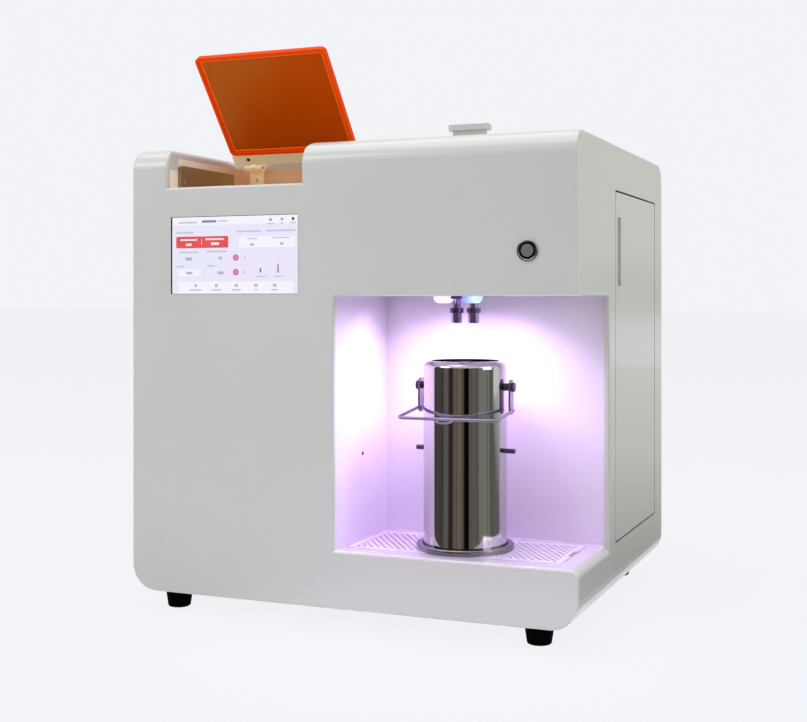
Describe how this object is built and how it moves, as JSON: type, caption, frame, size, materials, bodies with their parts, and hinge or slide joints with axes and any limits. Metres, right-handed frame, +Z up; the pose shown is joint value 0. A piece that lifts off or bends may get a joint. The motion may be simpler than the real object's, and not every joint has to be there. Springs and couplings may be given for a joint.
{
  "type": "liquid filling machine",
  "caption": "Bench-top liquid filling machine: boxy white cabinet with an open lit filling bay, nozzles over a steel canister on a drip grid, hinged lid, screen and side service door.",
  "frame": {"origin": "centre of the bounding box on the table, under the cabinet", "axes": "X to the right, Y to the back, Z up; the cabinet faces -Y and the filling bay opens to -Y and +X"},
  "size_m": [0.52, 0.424, 0.6331],
  "materials": {
    "cabinet_white": "satin powder coat, warm white",
    "bay_white": "glossy white bay lining",
    "lid_orange": "glossy translucent orange",
    "hinge_cream": "cream painted steel",
    "bronze_steel": "brushed stainless steel with a warm reflection",
    "stainless": "brushed stainless steel",
    "polished_steel": "polished stainless steel",
    "foot_rubber": "black rubber",
    "glass_screen": "glossy display glass",
    "module_black": "black display module",
    "circuit_green": "green circuit board",
    "lens_clear": "frosted lens",
    "lamp_purple": "dark purple lamp board",
    "valve_black": "black valve body",
    "head_grey": "grey moulded block",
    "motor_black": "black motor",
    "housing_grey": "grey moulded housing",
    "tube_silicone": "translucent silicone",
    "rotor_white": "white moulding",
    "supply_metal": "bare aluminium case",
    "inlet_black": "black moulding",
    "button_grey": "satin grey button"
  },
  "bodies": {
    "cabinet": {"front_panel": "cabinet_white", "top_panel": "cabinet_white", "lid_well": "cabinet_white", "left_side_panel": "cabinet_white", "right_side_panel": "cabinet_white", "rear_panel": "cabinet_white", "base_pan": "cabinet_white", "rubber_feet": "foot_rubber", "bay_side_wall": "bay_white", "bay_back_wall": "bay_white", "bay_ceiling": "bay_white", "bay_deck": "bay_white", "tank": "stainless", "level_sensor": "stainless", "well_side_plates": "bronze_steel", "hinge_brackets": "hinge_cream", "hinge_pins": "stainless", "display_glass": "glass_screen", "display_module": "module_black", "display_board": "circuit_green", "button_bezel": "polished_steel", "button_nut": "stainless", "nozzle_block": "head_grey", "nozzle_tubes": "polished_steel", "nozzle_collars": "stainless", "lamp_lenses": "lens_clear", "lamp_board": "lamp_purple", "nozzle_valves": "valve_black", "pivot_brackets": "stainless", "mounting_plate": "supply_metal", "pump_motors": "motor_black", "pump_housings": "housing_grey", "pump_tubes": "tube_silicone", "suction_hoses": "tube_silicone", "dispense_hoses": "tube_silicone", "control_board": "circuit_green", "power_supply": "supply_metal", "service_recess": "supply_metal", "power_inlet": "inlet_black", "power_switch": "inlet_black", "hose_barbs": "stainless", "casing_screws": "stainless"},
    "lid": {"lid": "lid_orange", "hinge_plate": "hinge_cream"},
    "side_door": {"side_door": "cabinet_white", "door_pivots": "stainless"},
    "button": {"button_cap": "button_grey"},
    "rocker": {"rocker": "inlet_black"},
    "top_cover": {"top_cover": "cabinet_white"},
    "drip_tray": {"drip_tray": "stainless"},
    "drip_grid": {"drip_grid": "stainless"},
    "canister": {"canister_body": "polished_steel", "canister_ring": "stainless", "canister_studs": "polished_steel", "canister_arms": "polished_steel"},
    "bail": {"bail": "polished_steel"},
    "pump_rotor_a": {"pump_rotor_a": "rotor_white", "pump_rollers_a": "stainless"},
    "pump_rotor_b": {"pump_rotor_b": "rotor_white", "pump_rollers_b": "stainless"}
  },
  "joints": [
    {"name": "lid_hinge", "type": "hinge", "parent": "cabinet", "child": "lid", "pos_m": [-0.1295, -0.052, 0.511], "axis": [-1, 0, 0], "range_deg": [-50, 50]},
    {"name": "door_hinge", "type": "hinge", "parent": "cabinet", "child": "side_door", "pos_m": [0.253, 0.157, 0.2755], "axis": [0, 0, 1], "range_deg": [0, 95]},
    {"name": "button_press", "type": "slide", "parent": "cabinet", "child": "button", "axis": [0, 1, 0], "range_m": [0, 0.0025], "stiffness_N_per_m": 600, "springref_m": -0.001},
    {"name": "rocker_tilt", "type": "hinge", "parent": "cabinet", "child": "rocker", "pos_m": [-0.105, 0.181, 0.165], "axis": [1, 0, 0], "range_deg": [0, 24]},
    {"name": "cover_lift", "type": "slide", "parent": "cabinet", "child": "top_cover", "axis": [0, 0, 1], "range_m": [0, 0.06]},
    {"name": "tray_lift", "type": "slide", "parent": "cabinet", "child": "drip_tray", "axis": [0, 0, 1], "range_m": [0, 0.02]},
    {"name": "grid_lift", "type": "slide", "parent": "drip_tray", "child": "drip_grid", "axis": [0, 0, 1], "range_m": [0, 0.015]},
    {"name": "canister_slide", "type": "slide", "parent": "drip_grid", "child": "canister", "axis": [0, -1, 0], "range_m": [0, 0.2]},
    {"name": "bail_swing", "type": "hinge", "parent": "canister", "child": "bail", "pos_m": [0.117, -0.14, 0.2318], "axis": [1, 0, 0], "range_deg": [-35, 32]},
    {"name": "rotor_a_spin", "type": "hinge", "parent": "cabinet", "child": "pump_rotor_a", "pos_m": [0.16, 0.06, 0.38], "axis": [1, 0, 0], "continuous": true},
    {"name": "rotor_b_spin", "type": "hinge", "parent": "cabinet", "child": "pump_rotor_b", "pos_m": [0.16, 0.06, 0.25], "axis": [1, 0, 0], "continuous": true}
  ]
}
